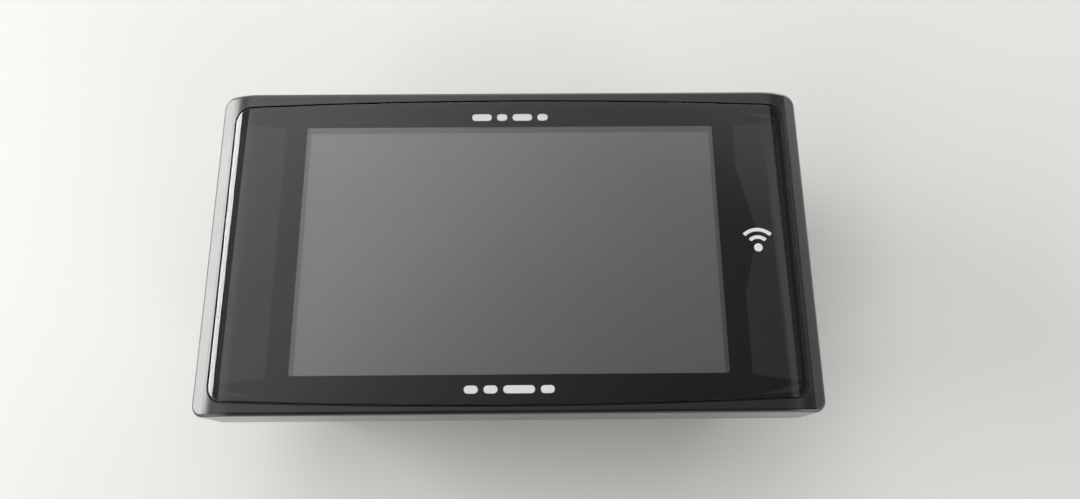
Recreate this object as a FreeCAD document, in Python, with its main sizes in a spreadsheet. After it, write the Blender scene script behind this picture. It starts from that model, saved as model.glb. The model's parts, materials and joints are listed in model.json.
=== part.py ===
"""Dashboard radar detector: a wide display housing in front, a narrower receiver housing behind it.

The model lies on its back. +X points to the display's right, +Y to its upper edge and +Z out of the
display. The origin is the centre of the back face. All sizes are in millimetres.
"""

import FreeCAD
import Part
import math
import os
import re
import Sketcher

Vector = FreeCAD.Vector

# Every driving dimension: alias, value, what it is.
DIMENSIONS = [
    ("case_width", 99.7, "front housing, left to right"),
    ("case_height", 54.95, "front housing, bottom to top"),
    ("case_depth", 30.0, "whole object, back face to window"),
    ("case_wall", 1.8, "moulded wall thickness of both housings"),
    ("case_corner", 2.0, "plan corner radius of the front housing"),
    ("shell_back", 18.0, "back edge of the front housing above the back face"),
    ("back_edge", 0.7, "rounding of the front housing's back edge"),
    ("rim_edge", 0.6, "rounding where the rim meets the side walls"),
    ("rim_top", 29.75, "height of the rim above and below the window"),
    ("rim_side", 28.8, "height of the rim at the window's left and right ends"),
    ("rim_fall", 1.0, "fall of the side rims across the corner radius"),
    ("window_width", 94.1, "glossy window, left to right"),
    ("window_height", 51.65, "glossy window at its middle, bottom to top"),
    ("window_y", -0.25, "window centre above the case centre"),
    ("window_bow", 1060.0, "radius of the window's long edges, which bow outward"),
    ("window_corner", 2.4, "corner radius of the window"),
    ("window_gap", 0.3, "gap between window and rim, above and below"),
    ("side_gap", 0.15, "gap between window and rim at the window's ends"),
    ("lip_edge", 0.1, "rounding of the window's edge and of the rim beside it"),
    ("window_thick", 1.5, "thickness of the window"),
    ("window_flat", 86.7, "flat width of the window between its rolled ends"),
    ("window_end", 29.1, "height of the window's surface at its ends"),
    ("mask_thick", 0.1, "printed film behind the window"),
    ("mask_inset", 0.2, "film edge inside the window's edge"),
    ("tape_thick", 0.2, "adhesive frame behind the film"),
    ("tape_inset", 0.8, "adhesive frame's edge inside the window's edge"),
    ("tape_inner_width", 77.0, "opening of the adhesive frame"),
    ("tape_inner_height", 46.6, "opening of the adhesive frame"),
    ("ledge_low", 27.5, "inner face of the front plate"),
    ("ledge_width", 73.4, "opening of the front plate"),
    ("ledge_height", 46.0, "opening of the front plate"),
    ("view_width", 69.8, "clear opening of the printed film"),
    ("view_height", 42.7, "clear opening of the printed film"),
    ("view_y", 0.01, "display module's centre above the case centre"),
    ("view_rise", 0.15, "centre of the film's opening above the module's centre"),
    ("frame_width", 76.6, "display module's steel frame"),
    ("frame_height", 49.6, "display module's steel frame"),
    ("frame_front", 27.2, "front face of the steel frame"),
    ("frame_back", 23.9, "back edge of the steel frame"),
    ("frame_sheet", 0.25, "sheet thickness of the steel frame"),
    ("frame_open_width", 71.5, "opening of the steel frame"),
    ("frame_open_height", 44.5, "opening of the steel frame"),
    ("glass_low", 25.7, "back face of the display glass"),
    ("guide_low", 24.6, "back face of the light guide"),
    ("polariser_thick", 0.25, "front polariser film"),
    ("cell_width", 75.6, "display glass"),
    ("cell_height", 48.6, "display glass"),
    ("cell_middle", 26.3, "meeting faces of the two sheets of display glass"),
    ("guide_width", 74.6, "light guide"),
    ("ribbon_low", 21.2, "display ribbon where it reaches its connector"),
    ("ribbon_end", -20.5, "display ribbon's end, along Y"),
    ("ribbon_thick", 0.12, "display ribbon"),
    ("label_width", 22.0, "blank label on the back face"),
    ("label_height", 8.0, "blank label on the back face"),
    ("label_x", -22.0, "blank label centre"),
    ("label_y", 16.0, "blank label centre"),
    ("screw_sink", 1.2, "depth of the screw heads in the flange"),
    ("collar", 3.2, "power jack collar radius"),
    ("jack_board_low", 4.0, "rear face of the jack board"),
    ("jack_board_thick", 1.0, "jack board"),
    ("horn_lug", 5.6, "rear face of the horn's lugs"),
    ("gps_board", 17.2, "positioning board width"),
    ("button_skirt", 1.5, "thickness of the two buttons' retaining skirts"),
    ("rocker_skirt", 0.8, "thickness of the rocker's retaining skirt"),
    ("switch_board_low", 3.6, "lower edge of the switch board"),
    ("board_end_a", -38.4, "left end of the switch board"),
    ("board_end_b", 7.0, "right end of the switch board"),
    ("small_gap", 0.2, "ordinary assembly clearance"),
    ("board_low", 22.0, "rear face of the main board"),
    ("board_thick", 1.2, "main board thickness"),
    ("board_width", 83.0, "main board"),
    ("board_height", 46.0, "main board"),
    ("post_x", 40.0, "board posts, from the centre"),
    ("post_y", 15.0, "board posts, from the centre"),
    ("post_radius", 1.4, "board post"),
    ("boss_x", 45.2, "case screws, from the centre"),
    ("boss_y", 21.5, "case screws, from the centre"),
    ("boss_radius", 2.9, "case screw boss"),
    ("flange_thick", 2.0, "rear housing's flange"),
    ("rear_width", 84.0, "receiver housing where it leaves the flange"),
    ("rear_height", 49.0, "receiver housing where it leaves the flange"),
    ("rear_corner", 6.0, "plan corner radius of the receiver housing"),
    ("rear_taper", 2.5, "draft of the receiver housing, degrees"),
    ("rear_edge", 1.8, "rounding of the back face's edge"),
    ("case_screw", 0.95, "case screw shank radius"),
    ("case_screw_head", 2.0, "case screw head radius"),
    ("board_screw", 0.6, "board screw shank radius"),
    ("board_screw_head", 1.4, "board screw head radius"),
    ("speaker_x", 21.0, "speaker axis"),
    ("speaker_y", -3.0, "speaker axis"),
    ("speaker_radius", 14.0, "speaker rim"),
    ("speaker_low", 2.3, "front of the speaker rim"),
    ("grille_hole", 0.75, "grille hole radius"),
    ("grille_pitch", 2.6, "spacing of the grille's rings"),
    ("horn_x", -13.0, "microwave horn axis"),
    ("horn_y", -2.0, "microwave horn axis"),
    ("horn_width", 26.0, "horn casting"),
    ("horn_height", 20.0, "horn casting"),
    ("horn_low", 2.6, "horn mouth above the back face"),
    ("horn_high", 13.6, "top of the horn casting"),
    ("mouth_width", 21.0, "horn mouth"),
    ("mouth_height", 15.0, "horn mouth"),
    ("gps_x", 23.0, "positioning antenna centre"),
    ("gps_low", 2.2, "lower edge of the positioning antenna"),
    ("gps_size", 15.0, "side of the ceramic antenna"),
    ("gps_board_low", 16.0, "inner face of the positioning board, along Y"),
    ("jack_end", -41.5, "outer end of both jack collars, along X"),
    ("jack_face", -39.5, "outer face of both jack bodies, along X"),
    ("dc_y", -9.0, "power jack axis"),
    ("dc_z", 9.5, "power jack axis"),
    ("dc_bore", 2.1, "power jack bore radius"),
    ("dc_pin", 0.85, "power jack centre pin radius"),
    ("link_y", 4.0, "link jack axis"),
    ("link_z", 10.0, "link jack axis"),
    ("link_bore", 1.8, "link jack bore radius"),
    ("key_z", 9.0, "height of the key row"),
    ("power_x", -31.0, "power key"),
    ("rocker_x", -15.0, "volume rocker"),
    ("menu_x", 1.0, "menu key"),
    ("rocker_arm", 5.5, "volume switches, from the rocker's pivot"),
    ("key_width", 8.0, "key cap"),
    ("key_tall", 3.4, "key cap"),
    ("rocker_width", 15.6, "rocker cap"),
    ("key_crown", 24.9, "outer face of the key caps, along Y"),
    ("key_skirt", 0.8, "how far the retaining skirt stands out round a cap"),
    ("key_play", 0.2, "clearance round a key cap"),
    ("plunger_high", 20.6, "top of the switch plungers, along Y"),
    ("switch_high", 19.6, "top of the switch cases, along Y"),
    ("switch_low", 17.0, "foot of the switch cases, along Y"),
    ("pivot_y", 20.3, "rocker pivot, along Y"),
    ("pivot_radius", 0.6, "rocker pin radius"),
    ("card_y", -6.0, "memory card centre"),
    ("card_low", 20.5, "rear face of the memory card"),
    ("card_thick", 0.8, "memory card"),
    ("card_length", 15.0, "memory card"),
    ("card_breadth", 11.0, "memory card"),
    ("card_end", 49.7, "outer end of the memory card, along X"),
    ("dock_neck", 12.0, "neck width of the bracket slot"),
    ("dock_wide", 18.0, "groove width of the bracket slot"),
    ("dock_top", 13.0, "closed end of the bracket slot above the back face"),
    ("dock_skin", 1.8, "lip thickness of the bracket slot"),
    ("dock_depth", 4.8, "depth of the bracket slot from the lower wall"),
]

doc = FreeCAD.newDocument("radar_detector")
sheet = doc.addObject("Spreadsheet::Sheet", "dims")
for row, (alias, size, note) in enumerate(DIMENSIONS, start=1):
    sheet.set(f"A{row}", note)
    sheet.set(f"B{row}", str(size))
    sheet.setAlias(f"B{row}", alias)
doc.recompute()

ALIASES = {alias for alias, size, note in DIMENSIONS}
WORD = re.compile(r"[a-z]\w*")
parts = {}


def bound(expression):
    """The expression, with each dimension's name pointing at its cell."""
    return WORD.sub(lambda word: ("dims." if word[0] in ALIASES else "") + word[0], str(expression))


def number(expression):
    return float(sheet.evalExpression(bound(expression)))


def bind(item, **properties):
    """Binds properties to expressions. A double underscore in a name stands for a dot."""
    for name, expression in properties.items():
        item.setExpression(name.replace("__", "."), bound(expression))
    return item


def place(item, x="0", y="0", z="0"):
    return bind(item, Placement__Base__x=x, Placement__Base__y=y, Placement__Base__z=z)


def sub_part(item, name):
    """Keeps a finished object as a sub-part under that name."""
    item.Label = name
    parts[name] = item
    return item


# Primitives and booleans


def block(name, size, centre, low):
    """A box of that (x, y, z) size, centred on (x, y), standing on the height low."""
    item = doc.addObject("Part::Box", name)
    bind(item, Length=size[0], Width=size[1], Height=size[2])
    return place(item, f"({centre[0]}) - ({size[0]}) / 2", f"({centre[1]}) - ({size[1]}) / 2", low)


TURNS = {"+X": (Vector(0, 1, 0), 90), "+Y": (Vector(1, 0, 0), -90), "+Z": (Vector(0, 0, 1), 0)}


def rod(name, radius, length, start, axis="+Z"):
    """A cylinder that starts at the point start and runs along axis."""
    item = doc.addObject("Part::Cylinder", name)
    item.Placement = FreeCAD.Placement(Vector(), FreeCAD.Rotation(*TURNS[axis]))
    bind(item, Radius=radius, Height=length)
    return place(item, *start)


def fuse(name, *shapes):
    item = doc.addObject("Part::MultiFuse", name)
    item.Shapes = list(shapes)
    return item


def cut(name, base, *tools):
    item = doc.addObject("Part::Cut", name)
    item.Base = base
    item.Tool = tools[0] if len(tools) == 1 else fuse(f"{name}_tools", *tools)
    return item


def group(name, *shapes):
    """Separate solids kept together as one sub-part."""
    item = doc.addObject("Part::Compound", name)
    item.Links = list(shapes)
    return item


def mirrored(name, source, normal):
    item = doc.addObject("Part::Mirroring", name)
    item.Source = source
    item.Normal = normal
    return item


def four_corners(name, source):
    """The source and its images across the YZ and XZ planes, as four solids."""
    pair = group(f"{name}_pair", source, mirrored(f"{name}_left", source, Vector(1, 0, 0)))
    return group(name, pair, mirrored(f"{name}_lower", pair, Vector(0, 1, 0)))


# Bodies, sketches and features


def new_body(name):
    return doc.addObject("PartDesign::Body", name)


def sketch_on(body, name, plane="XY_Plane", offset="0"):
    """A sketch on one of the body's own planes, moved along that plane's normal.
    XZ_Plane's sketches have X and Z as their axes and face -Y; YZ_Plane's have Y and Z and face +X."""
    sketch = body.newObject("Sketcher::SketchObject", name)
    support = next(f for f in body.Origin.OriginFeatures if f.Role == plane)
    sketch.AttachmentSupport = [(support, "")]
    sketch.MapMode = "FlatFace"
    return bind(sketch, AttachmentOffset__Base__z=offset)


def fix(sketch, kind, *where, value=None):
    """Adds a constraint, bound to an expression if it has a value."""
    if value is None:
        sketch.addConstraint(Sketcher.Constraint(kind, *where))
        return
    index = sketch.addConstraint(Sketcher.Constraint(kind, *where, number(value)))
    sketch.setExpression(f"Constraints[{index}]", bound(value))


def pin_point(sketch, edge, end, x, y):
    """Fixes one end or centre of an edge at (x, y) from the sketch's origin."""
    fix(sketch, "DistanceX", -1, 1, edge, end, value=x)
    fix(sketch, "DistanceY", -1, 1, edge, end, value=y)


def arc(centre, radius, first, second):
    """The counterclockwise arc from the point first to the point second."""
    angles = [math.atan2(p.y - centre.y, p.x - centre.x) for p in (first, second)]
    return Part.ArcOfCircle(Part.Circle(centre, Vector(0, 0, 1), radius), *angles)


def circles(sketch, *specs):
    """Circles given as (x, y, radius)."""
    for x, y, radius in specs:
        circle = Part.Circle(Vector(number(x), number(y), 0), Vector(0, 0, 1), number(radius))
        index = sketch.addGeometry(circle)
        fix(sketch, "Radius", index, value=radius)
        pin_point(sketch, index, 3, x, y)
    return sketch


def rectangle(sketch, width, height, x="0", y="0"):
    half_w = f"({width}) / 2"
    half_h = f"({height}) / 2"
    left, right = f"({x}) - {half_w}", f"({x}) + {half_w}"
    low, high = f"({y}) - {half_h}", f"({y}) + {half_h}"
    return outline(sketch, [(left, low), (right, low), (right, high), (left, high)])


def outline(sketch, points, arcs=()):
    """A closed outline through points. arcs maps the number of an edge, which runs from that point to
    the next, to (radius, side): side is 1 if the arc's centre lies left of the edge, and -1 if right."""
    arcs = dict(arcs)
    spots = [Vector(number(x), number(y), 0) for x, y in points]
    first = sketch.GeometryCount
    ends = []
    for i, (a, b) in enumerate(zip(spots, spots[1:] + spots[:1])):
        if i not in arcs:
            sketch.addGeometry(Part.LineSegment(a, b))
            ends.append((1, 2))
            continue
        radius, side = number(arcs[i][0]), arcs[i][1]
        along = b - a
        left = Vector(-along.y, along.x, 0).normalize()
        rise = math.sqrt(radius**2 - along.Length**2 / 4)
        centre = (a + b) / 2 + left * side * rise
        sketch.addGeometry(arc(centre, radius, a, b) if side > 0 else arc(centre, radius, b, a))
        ends.append((1, 2) if side > 0 else (2, 1))
    for i, (x, y) in enumerate(points):
        after = (i + 1) % len(points)
        fix(sketch, "Coincident", first + i, ends[i][1], first + after, ends[after][0])
        pin_point(sketch, first + i, ends[i][0], x, y)
        if i in arcs:
            fix(sketch, "Radius", first + i, value=arcs[i][0])
    return sketch


def round_cornered(sketch, width, height, corner, x="0", y="0", bow=None):
    """A rectangle with round corners. With bow, its long edges are arcs of that radius, bowing outward,
    and height is measured at the middle."""
    w, h, r = number(width) / 2, number(height) / 2, number(corner)
    middle = Vector(number(x), number(y), 0)
    flips = [(1, 1), (-1, 1), (-1, -1), (1, -1)]
    if bow is None:
        side_end, long_end, hub = Vector(w, h - r), Vector(w - r, h), Vector(w - r, h - r)
    else:
        big = number(bow)
        hub = Vector(w - r, h - big + math.sqrt((big - r) ** 2 - (w - r) ** 2))
        side_end = Vector(w, hub.y)
        long_end = Vector(0, h - big) + (hub - Vector(0, h - big)) * (big / (big - r))
    spot = [[middle + Vector(p.x * fx, p.y * fy) for p in (side_end, long_end, hub)] for fx, fy in flips]
    first = sketch.GeometryCount
    for k, (side, long, centre) in enumerate(spot):
        sketch.addGeometry(arc(centre, r, side, long) if k % 2 == 0 else arc(centre, r, long, side))
    for k in (0, 2):
        a, b = spot[k][1], spot[(k + 1) % 4][1]
        if bow is None:
            sketch.addGeometry(Part.LineSegment(a, b))
        else:
            centre = middle + Vector(0, (h - big) * (1 if k == 0 else -1))
            sketch.addGeometry(arc(centre, big, a, b))
    for k in (1, 3):
        sketch.addGeometry(Part.LineSegment(spot[k][0], spot[(k + 1) % 4][0]))
    top, bottom, left, right = first + 4, first + 5, first + 6, first + 7
    for edge, start_corner, end_corner in ((top, 0, 1), (left, 1, 2), (bottom, 2, 3), (right, 3, 0)):
        fix(sketch, "Tangent", edge, 1, first + start_corner, 2)
        fix(sketch, "Tangent", edge, 2, first + end_corner, 1)
    for other in (1, 2, 3):
        fix(sketch, "Equal", first, first + other)
    fix(sketch, "Radius", first, value=corner)
    fix(sketch, "Vertical", left)
    fix(sketch, "Vertical", right)
    fix(sketch, "DistanceX", -1, 1, left, 1, value=f"({x}) - ({width}) / 2")
    fix(sketch, "DistanceX", -1, 1, right, 1, value=f"({x}) + ({width}) / 2")
    if bow is None:
        fix(sketch, "Horizontal", top)
        fix(sketch, "Horizontal", bottom)
        fix(sketch, "DistanceY", -1, 1, top, 1, value=f"({y}) + ({height}) / 2")
        fix(sketch, "DistanceY", -1, 1, bottom, 1, value=f"({y}) - ({height}) / 2")
        return sketch
    for edge, sign in ((top, "+"), (bottom, "-")):
        fix(sketch, "Radius", edge, value=bow)
        pin_point(sketch, edge, 3, x, f"({y}) {sign} (({height}) / 2 - ({bow}))")
    return sketch


def feature(body, kind, sketch, length, reverse=False, middle=False, taper=None):
    item = body.newObject(f"PartDesign::{kind}", f"{sketch.Name}_{kind.lower()}")
    item.Profile = sketch
    item.Reversed = reverse
    if middle:
        item.Midplane = True
    bind(item, Length=length)
    if taper is not None:
        bind(item, TaperAngle=taper)
    sketch.Visibility = False
    doc.recompute()
    return item


def pad(body, sketch, length, **options):
    return feature(body, "Pad", sketch, length, **options)


def pocket(body, sketch, length, **options):
    """Cuts against the sketch's normal, or along it if reversed, and stops if nothing was cut."""
    before = body.Shape.Volume
    item = feature(body, "Pocket", sketch, length, **options)
    if not body.Shape.Volume < before - 1e-6:
        raise RuntimeError(f"{item.Name} cut nothing")
    return item


def edges_where(shape, wanted):
    return [f"Edge{i}" for i, edge in enumerate(shape.Edges, start=1) if wanted(edge)]


def round_edges(body, name, radius, wanted):
    base = body.Tip
    item = body.newObject("PartDesign::Fillet", name)
    item.Base = (base, edges_where(base.Shape, wanted))
    bind(item, Radius=radius)
    doc.recompute()
    return item


def slab(name, low, thick, width, height, corner, x="0", y="0", bow=None, opening=None):
    """A flat round-cornered plate as a body. An opening is (width, height, corner, x, y)."""
    body = new_body(name)
    sketch = round_cornered(sketch_on(body, f"{name}_outline", offset=low), width, height, corner, x, y, bow)
    pad(body, sketch, thick)
    if opening:
        inner = sketch_on(body, f"{name}_opening", offset=low)
        pocket(body, round_cornered(inner, *opening), thick, reverse=True)
    return body


def turned(name, points, x, y, arcs=()):
    """A body of revolution about the line parallel to Z through (x, y), from (radius, height) points."""
    body = new_body(name)
    sketch = outline(sketch_on(body, f"{name}_profile", "XZ_Plane"), points, arcs)
    item = body.newObject("PartDesign::Revolution", f"{name}_turn")
    item.Profile = sketch
    item.ReferenceAxis = (sketch, ["V_Axis"])
    item.Angle = 360
    sketch.Visibility = False
    return place(body, x, y)


def screws(name, x, y, seat, head_radius, head_high, shank_radius, length):
    """Cross-recessed pan-head screws in four corners. Heads hang below the height seat."""
    points = [("0", f"({seat}) - ({head_high})"), (f"({head_radius}) * 0.8", f"({seat}) - ({head_high})"),
              (head_radius, f"({seat}) - ({head_high}) * 0.6"), (head_radius, seat), (shank_radius, seat),
              (shank_radius, f"({seat}) + ({length})"), ("0", f"({seat}) + ({length})")]
    one = turned(f"{name}_one", points, x, y)
    deep = f"({head_high}) * 0.5"
    arm, thick = f"({head_radius}) * 1.1", f"({head_radius}) * 0.24"
    low = f"({seat}) - ({head_high}) - 0.1"
    slots = [block(f"{name}_slot_x", (arm, thick, f"{deep} + 0.1"), (x, y), low),
             block(f"{name}_slot_y", (thick, arm, f"{deep} + 0.1"), (x, y), low)]
    return four_corners(name, cut(f"{name}_recessed", one, *slots))


# Front housing

VIEW = ("view_width", "view_height", "0.3", "0", "view_y + view_rise")
KNEE = "case_width / 2 - case_corner"


def tangent_arc(run, fall):
    """The radius of an arc that leaves a flat face smoothly and has fallen by fall after run."""
    return f"(({run})^2 + ({fall})^2) / (2 * ({fall}))"


SIDE_ARC = tangent_arc(f"{KNEE} - window_flat / 2", "rim_top - rim_side")
ROLL_ARC = tangent_arc("window_width / 2 - window_flat / 2", "case_depth - window_end")

front = new_body("front_housing_body")
pad(front, round_cornered(sketch_on(front, "front_outline", offset="shell_back"),
                          "case_width", "case_height", "case_corner"), "rim_top - shell_back")

# Above the rims: the two ends fall away to the sides.
far, high = f"{KNEE} + 2 * case_corner", "case_depth + 4"
crest = sketch_on(front, "front_crest", "XZ_Plane")
outline(crest, [(f"-({far})", "rim_side - 2 * rim_fall"), (f"-({KNEE})", "rim_side"),
                ("-window_flat / 2", "rim_top"), ("window_flat / 2", "rim_top"), (KNEE, "rim_side"),
                (far, "rim_side - 2 * rim_fall"), (far, high), (f"-({far})", high)],
        {1: (SIDE_ARC, -1), 3: (SIDE_ARC, -1)})
pocket(front, crest, "case_height + 10", middle=True)


def on_outer_rim(edge):
    """Edges where the four rims meet the side walls."""
    middle = edge.CenterOfMass
    beside = abs(middle.x) > number("case_width / 2 - case_corner / 2")
    beyond = abs(middle.y) > number("case_height / 2 - case_corner / 2")
    across = edge.BoundBox.DiagonalLength
    return (beside or beyond) and middle.z > number("rim_side - rim_fall - 0.5") and across > 0.5


def on_back(height, reach=0.01):
    return lambda edge: abs(edge.BoundBox.ZMin - number(height)) < reach and edge.BoundBox.ZLength < reach


round_edges(front, "front_back_edge", "back_edge", on_back("shell_back"))
round_edges(front, "front_rim_edge", "rim_edge", on_outer_rim)

hollow = sketch_on(front, "front_hollow", offset="shell_back")
pocket(front, round_cornered(hollow, "case_width - 2 * case_wall", "case_height - 2 * case_wall", "0.8"),
       "ledge_low - shell_back", reverse=True)
recess = sketch_on(front, "front_recess", offset="case_depth - window_thick - mask_thick - tape_thick")
round_cornered(recess, "window_width + 2 * side_gap", "window_height + 2 * window_gap",
               "window_corner + window_gap", y="window_y", bow="window_bow")
pocket(front, recess, "window_thick + 1", reverse=True)


def on_inner_rim(edge):
    """Edges where the four rims meet the window's recess."""
    box = edge.BoundBox
    within_x = max(abs(box.XMin), abs(box.XMax)) < number("window_width / 2 + side_gap") + 0.02
    reach = number("window_height / 2 + window_gap") + 0.02
    within_y = max(abs(y - number("window_y")) for y in (box.YMin, box.YMax)) < reach
    return within_x and within_y and box.ZMin > number("rim_side") - 0.2


round_edges(front, "front_lip", "lip_edge", on_inner_rim)
sight = sketch_on(front, "front_sight", offset="ledge_low")
pocket(front, round_cornered(sight, "ledge_width", "ledge_height", "0.8", "0", "view_y"), "3",
       reverse=True)
card_mouth = sketch_on(front, "front_card_mouth", "YZ_Plane", "case_width / 2 + 1")
pocket(front, round_cornered(card_mouth, "card_breadth + 0.6", "card_thick + 0.5", "0.4",
                             "card_y", "card_low + card_thick / 2"), "case_wall + 2")

boss = rod("boss", "boss_radius", "ledge_low - shell_back - flange_thick - small_gap / 2",
           ("boss_x", "boss_y", "shell_back + flange_thick + small_gap / 2"))
post = rod("post", "post_radius", "ledge_low - board_low - board_thick",
           ("post_x", "post_y", "board_low + board_thick"))
boss_bore = rod("boss_bore", "case_screw + 0.02", "6.5",
                ("boss_x", "boss_y", "shell_back + flange_thick - 0.5"))
post_bore = rod("post_bore", "board_screw + 0.02", "3.5",
                ("post_x", "post_y", "board_low + board_thick - 0.5"))
joined = fuse("front_joined", front, four_corners("bosses", boss), four_corners("posts", post))
sub_part(cut("front_housing", joined, four_corners("boss_bores", boss_bore),
             four_corners("post_bores", post_bore)),
         "front_housing")

# Window, its printed film and its adhesive

window = slab("window", "case_depth - window_thick", "window_thick", "window_width", "window_height",
              "window_corner", y="window_y", bow="window_bow")
rolled = sketch_on(window, "window_roll_profile", "XZ_Plane")
outline(rolled, [("-window_width / 2 - 1", "window_end"), ("-window_width / 2", "window_end"),
                 ("-window_flat / 2", "case_depth"), ("window_flat / 2", "case_depth"),
                 ("window_width / 2", "window_end"), ("window_width / 2 + 1", "window_end"),
                 ("window_width / 2 + 1", "case_depth + 1"), ("-window_width / 2 - 1", "case_depth + 1")],
        {1: (ROLL_ARC, -1), 3: (ROLL_ARC, -1)})
pocket(window, rolled, "case_height + 10", middle=True)


def on_window_edge(edge):
    """The outer edges of the window's front face, but not the lines where its ends start to roll."""
    starts_roll = abs(abs(edge.CenterOfMass.x) - number("window_flat / 2")) < 0.01
    return edge.BoundBox.ZMin > number("window_end") - 0.01 and not starts_roll


round_edges(window, "window_lip", "lip_edge", on_window_edge)
sub_part(window, "front_window")

film = slab("film", "case_depth - window_thick - mask_thick", "mask_thick",
            "window_width - 2 * mask_inset", "window_height - 2 * mask_inset", "window_corner - mask_inset",
            y="window_y", bow="window_bow - mask_inset", opening=VIEW)
sub_part(film, "window_mask_film")
tape = slab("tape", "case_depth - window_thick - mask_thick - tape_thick", "tape_thick",
            "window_width - 2 * tape_inset", "window_height - 2 * tape_inset", "window_corner - tape_inset",
            y="window_y", bow="window_bow - tape_inset",
            opening=("tape_inner_width", "tape_inner_height", "1", "0", "view_y"))
sub_part(tape, "window_tape")

# Display module

sub_part(slab("foam", "frame_front", "ledge_low - frame_front", "frame_width - 0.3", "frame_height - 0.3",
              "0.6",
              y="view_y", opening=("ledge_width + 0.6", "ledge_height + 0.6", "0.6", "0", "view_y")),
         "lcd_foam_gasket")

steel = slab("steel", "frame_back", "frame_front - frame_back", "frame_width", "frame_height", "0.5",
             y="view_y")
steel_hollow = sketch_on(steel, "steel_hollow", offset="frame_back")
pocket(steel,
       round_cornered(steel_hollow, "frame_width - 2 * frame_sheet", "frame_height - 2 * frame_sheet", "0.3",
                             "0", "view_y"), "frame_front - frame_back - frame_sheet", reverse=True)
steel_open = sketch_on(steel, "steel_open", offset="frame_back")
pocket(steel,
       round_cornered(steel_open, "frame_open_width", "frame_open_height", "0.3", "0", "view_y + view_rise"),
       "frame_front - frame_back + 1", reverse=True)
ribbon_slot = sketch_on(steel, "steel_ribbon_slot", "XZ_Plane", "frame_height / 2 - view_y + 1")
pocket(steel, rectangle(ribbon_slot, "25", "0.7", "0", "cell_middle + 0.1"), "1 + 2 * frame_sheet")
sub_part(steel, "lcd_metal_frame")

sub_part(slab("polariser", "frame_front - polariser_thick", "polariser_thick", "frame_open_width - 0.4",
              "frame_open_height - 0.4", "0.2", y="view_y + view_rise"), "lcd_polariser")
sub_part(slab("front_glass", "cell_middle", "frame_front - frame_sheet - cell_middle", "cell_width",
              "cell_height - 2.6",
              "0.2", y="view_y + 1.3"), "lcd_front_glass")
sub_part(slab("rear_glass", "glass_low", "cell_middle - glass_low", "cell_width", "cell_height", "0.2",
              y="view_y"), "lcd_rear_glass")
sub_part(block("driver_chip", ("17", "0.9", "0.35"), ("-22", "view_y - cell_height / 2 + 1.3"),
               "cell_middle"),
         "lcd_driver_chip")

tray = slab("tray", "frame_back + 0.1", "glass_low - frame_back - 0.1",
            "frame_width - 2 * frame_sheet - 0.1",
            "frame_height - 2 * frame_sheet - 0.1", "0.3", y="view_y")
tray_hollow = sketch_on(tray, "tray_hollow", offset="guide_low - 0.1")
pocket(tray, round_cornered(tray_hollow, "guide_width + 0.4", "cell_height - 0.8", "0.3", "0", "view_y"),
       "2",
       reverse=True)
sub_part(tray, "lcd_tray")
sub_part(slab("guide", "guide_low", "glass_low - guide_low", "guide_width", "cell_height - 3.4", "0.2",
              y="view_y + 1.1"), "lcd_light_guide")
sub_part(slab("reflector", "guide_low - 0.1", "0.1", "guide_width", "cell_height - 3.4", "0.2",
              y="view_y + 1.1"), "lcd_reflector")
strip_y = "view_y - cell_height / 2 + 1.4"
strip = block("strip", ("guide_width - 4", "0.4", "0.9"), ("0", f"{strip_y} - 0.4"), "guide_low")
lamps = [block(f"lamp_{i}", ("3", "0.6", "0.7"), (f"{12 * i}", f"{strip_y} + 0.1"), "guide_low + 0.1")
         for i in range(-2, 3)]
sub_part(fuse("backlight", strip, *lamps), "backlight_strip")

ribbon = new_body("ribbon")
ledge, outer = "view_y - cell_height / 2 + 0.8", "view_y - frame_height / 2 - 0.3"
outline(sketch_on(ribbon, "ribbon_path", "YZ_Plane"),
        [(ledge, "cell_middle + ribbon_thick"), (outer, "cell_middle + ribbon_thick"), (outer, "ribbon_low"),
         ("ribbon_end", "ribbon_low"), ("ribbon_end", "ribbon_low + ribbon_thick"),
         (f"{outer} + ribbon_thick", "ribbon_low + ribbon_thick"),
         (f"{outer} + ribbon_thick", "cell_middle"),
         (ledge, "cell_middle")])
pad(ribbon, ribbon.Group[-1], "24", middle=True)
sub_part(ribbon, "lcd_ribbon")

# Main board and what it carries

board = new_body("board")
pad(board, rectangle(sketch_on(board, "board_outline", offset="board_low"), "board_width", "board_height"),
    "board_thick")
pad(board, rectangle(sketch_on(board, "board_tab", offset="board_low"), "8", "card_breadth + 5",
                     "board_width / 2 + 1.5", "card_y"), "board_thick")
holes = sketch_on(board, "board_holes", offset="board_low + board_thick")
pocket(board, circles(holes, *[(f"{i}post_x", f"{j}post_y", "board_screw + 0.15") for i in ("", "-")
                               for j in ("", "-")]), "board_thick")
sub_part(board, "main_board")
sub_part(screws("board_screw_set", "post_x", "post_y", "board_low", "board_screw_head", "0.9", "board_screw",
                "4"),
         "board_screws")


def under_board(name, width, height, thick, x, y, corner="0.3"):
    """A component on the rear side of the main board."""
    return slab(name, f"board_low - ({thick})", thick, width, height, corner, x, y)


sub_part(under_board("cpu", "13", "13", "1.2", "8", "14"), "processor")
sub_part(group("memory", under_board("memory_a", "9", "7", "1", "-6", "15"),
               under_board("memory_b", "9", "7", "1", "-6", "6")), "memory_chips")
sub_part(under_board("tuner", "17", "13", "2.4", "-29", "14", "0.8"), "receiver_shield")
sub_part(block("socket_of_ribbon", ("26", "4.2", "board_low - ribbon_low + 0.4 - 0.02"),
               ("0", "ribbon_end + 2.1"),
               "ribbon_low - 0.4"), "ribbon_connector")
sub_part(rod("cell", "4.7", "3.2", ("12", "-9", "board_low - 3.2")), "backup_battery")
sub_part(group("electrolytics", rod("can_a", "3.1", "5.6", ("-33", "-6", "board_low - 5.6")),
               rod("can_b", "3.1", "5.6", ("-33", "2", "board_low - 5.6"))), "power_capacitors")
sub_part(under_board("coil", "7", "7", "3", "-32", "-14", "1"), "power_inductor")

# Memory card and its socket

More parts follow.
